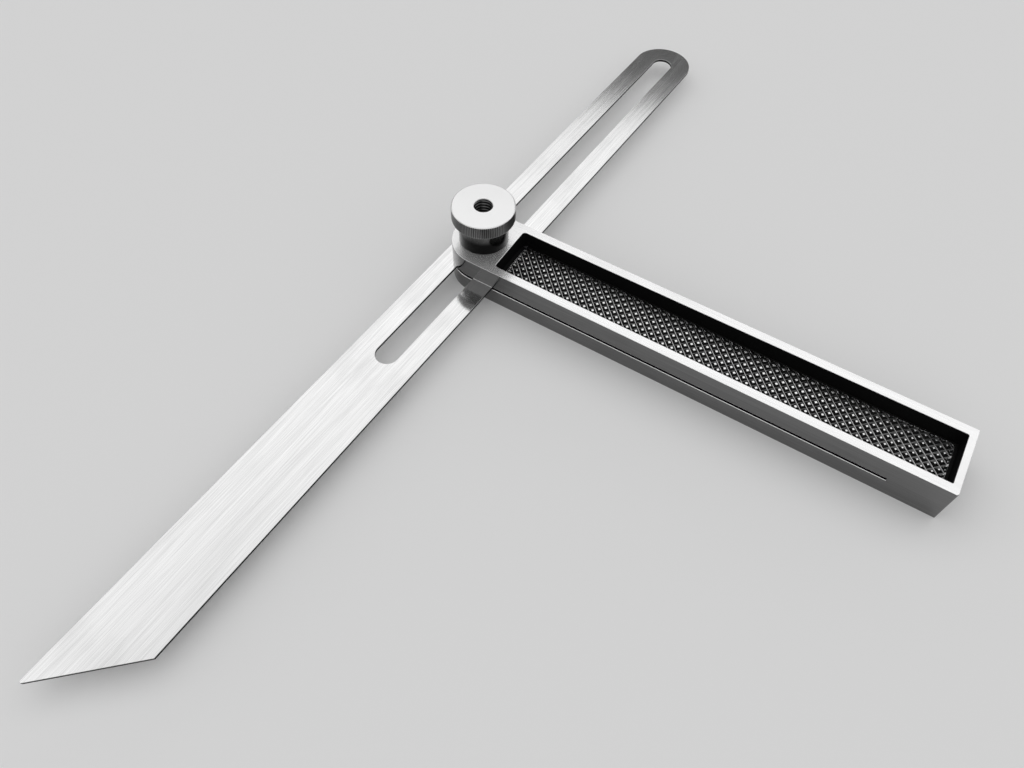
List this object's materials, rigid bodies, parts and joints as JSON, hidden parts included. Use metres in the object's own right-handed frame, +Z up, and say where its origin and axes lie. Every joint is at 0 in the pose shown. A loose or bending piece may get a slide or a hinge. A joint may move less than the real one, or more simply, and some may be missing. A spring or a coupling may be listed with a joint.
{
  "type": "adjustable set square",
  "caption": "Sliding bevel: a slotted metal blade swings and slides in the slit of a two-part metal stock with knurled grips, clamped by a knurled thumb nut on a screw.",
  "frame": {"origin": "on the clamp screw's axis, in the base plane that the stock's underside and the screw's flush head share", "axes": "+X along the stock to its far end, +Y across it towards the blade's tail at rest, +Z up through the thumb nut"},
  "size_m": [0.1466, 0.2631, 0.0233],
  "materials": {
    "upper_jaw_steel": "brushed lengthwise, bare",
    "lower_jaw_steel": "brushed lengthwise, bare",
    "grip_plate": "blackened diamond knurl with rubbed tips",
    "blade_steel": "brushed lengthwise, bare",
    "screw_steel": "turned, bare",
    "nut_steel": "turned satin, straight knurl on the rim"
  },
  "bodies": {
    "stock": {"upper_jaw": "upper_jaw_steel", "lower_jaw": "lower_jaw_steel", "top_grip_inlay": "grip_plate", "bottom_grip_inlay": "grip_plate"},
    "screw": {"clamp_screw": "screw_steel"},
    "blade": {"blade": "blade_steel"},
    "nut": {"thumb_nut": "nut_steel"}
  },
  "joints": [
    {"name": "blade_swing", "type": "hinge", "parent": "stock", "child": "screw", "pos_m": [0, 0, 0], "axis": [0, 0, 1], "range_deg": [-257, 82]},
    {"name": "blade_slide", "type": "slide", "parent": "screw", "child": "blade", "axis": [-0.0366, -0.9993, 0], "range_m": [-0.041, 0.105]},
    {"name": "nut_turn", "type": "hinge", "parent": "screw", "child": "nut", "pos_m": [0, 0, 0.0117], "axis": [0, 0, 1], "range_deg": [0, 720]}
  ]
}
